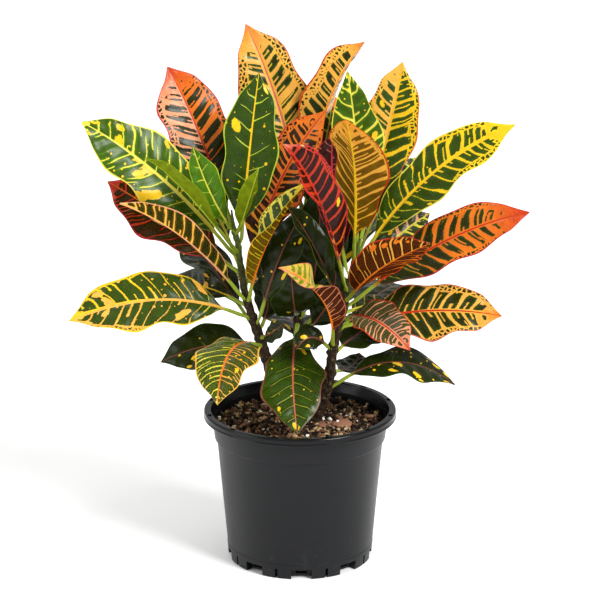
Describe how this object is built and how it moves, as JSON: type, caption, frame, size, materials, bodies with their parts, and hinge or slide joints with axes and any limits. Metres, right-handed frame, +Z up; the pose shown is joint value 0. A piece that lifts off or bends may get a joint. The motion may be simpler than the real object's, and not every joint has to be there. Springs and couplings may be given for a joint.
{
  "type": "potted croton",
  "caption": "House plant with woody stems and large waxy patterned leaves in green, yellow, orange and red, standing in potting mix in a black plastic nursery pot.",
  "frame": {"origin": "centre of the pot's underside, on the flat spot level with its feet", "axes": "+Z up along the pot's axis, -Y towards the side the plant is looked at from, +X to that viewer's right"},
  "size_m": [0.3817, 0.2506, 0.4496],
  "materials": {
    "pot_plastic": "satin black injection-moulded plastic, soft highlights",
    "potting_mix": "crumbly bark and peat with pale perlite, dull",
    "stem_bark": "brown bark below, green towards the tips, leaf scars",
    "leaf_red": "waxy leaf, red margin and veins, dark green cells, satin gloss",
    "leaf_orange": "waxy leaf, orange and yellow with dark green cells, satin gloss",
    "leaf_yellow": "waxy leaf, green with yellow veins and blotches, satin gloss",
    "leaf_green": "waxy leaf, green with yellow veins, satin gloss",
    "leaf_dark": "waxy dark green leaf, coloured midrib and yellow spots, satin gloss",
    "leaf_young": "bright green new leaf, light midrib, satin",
    "leaf_bronze": "leaf turned to its olive-brown underside with orange veins, satin"
  },
  "bodies": {
    "root": {"leaf_back_left": "leaf_red", "leaf_back_low": "leaf_dark", "leaf_back_low_left": "leaf_yellow", "leaf_back_low_right": "leaf_dark", "leaf_back_middle": "leaf_orange", "leaf_back_right": "leaf_yellow", "leaf_back_upright": "leaf_orange", "leaf_centre_left": "leaf_dark", "leaf_centre_right": "leaf_dark", "leaf_centre_upright": "leaf_dark", "leaf_dark_centre": "leaf_dark", "leaf_dark_inner": "leaf_dark", "leaf_dark_left": "leaf_dark", "leaf_dark_low_inner": "leaf_dark", "leaf_dark_red_rib": "leaf_dark", "leaf_dark_right": "leaf_dark", "leaf_dark_under": "leaf_dark", "leaf_front_centre": "leaf_dark", "leaf_front_left": "leaf_yellow", "leaf_green_mid_right": "leaf_green", "leaf_green_top": "leaf_green", "leaf_green_upright": "leaf_dark", "leaf_grey_inner": "leaf_green", "leaf_low_left": "leaf_dark", "leaf_low_right": "leaf_dark", "leaf_maroon_inner": "leaf_red", "leaf_new_left": "leaf_young", "leaf_new_upright": "leaf_young", "leaf_olive_low": "leaf_dark", "leaf_orange_edge_top": "leaf_orange", "leaf_orange_inner": "leaf_orange", "leaf_orange_low_right": "leaf_orange", "leaf_orange_right": "leaf_orange", "leaf_orange_tall": "leaf_orange", "leaf_rear_left": "leaf_dark", "leaf_rear_right": "leaf_dark", "leaf_rear_top_left": "leaf_green", "leaf_rear_top_right": "leaf_green", "leaf_red_edge_left": "leaf_red", "leaf_red_front": "leaf_red", "leaf_red_right": "leaf_red", "leaf_red_top_left": "leaf_red", "leaf_shiny_right": "leaf_green", "leaf_small_back_right": "leaf_dark", "leaf_small_front": "leaf_bronze", "leaf_small_inner": "leaf_young", "leaf_small_low_left": "leaf_dark", "leaf_striped_twist": "leaf_yellow", "leaf_turned_left": "leaf_bronze", "leaf_turned_right": "leaf_bronze", "leaf_turned_top": "leaf_bronze", "leaf_twisted_right": "leaf_bronze", "leaf_yellow_left": "leaf_yellow", "leaf_yellow_right": "leaf_yellow", "leaf_yellow_top_left": "leaf_yellow", "pot": "pot_plastic", "soil": "potting_mix", "stem_back": "stem_bark", "stem_left": "stem_bark", "stem_right": "stem_bark"}
  },
  "joints": []
}
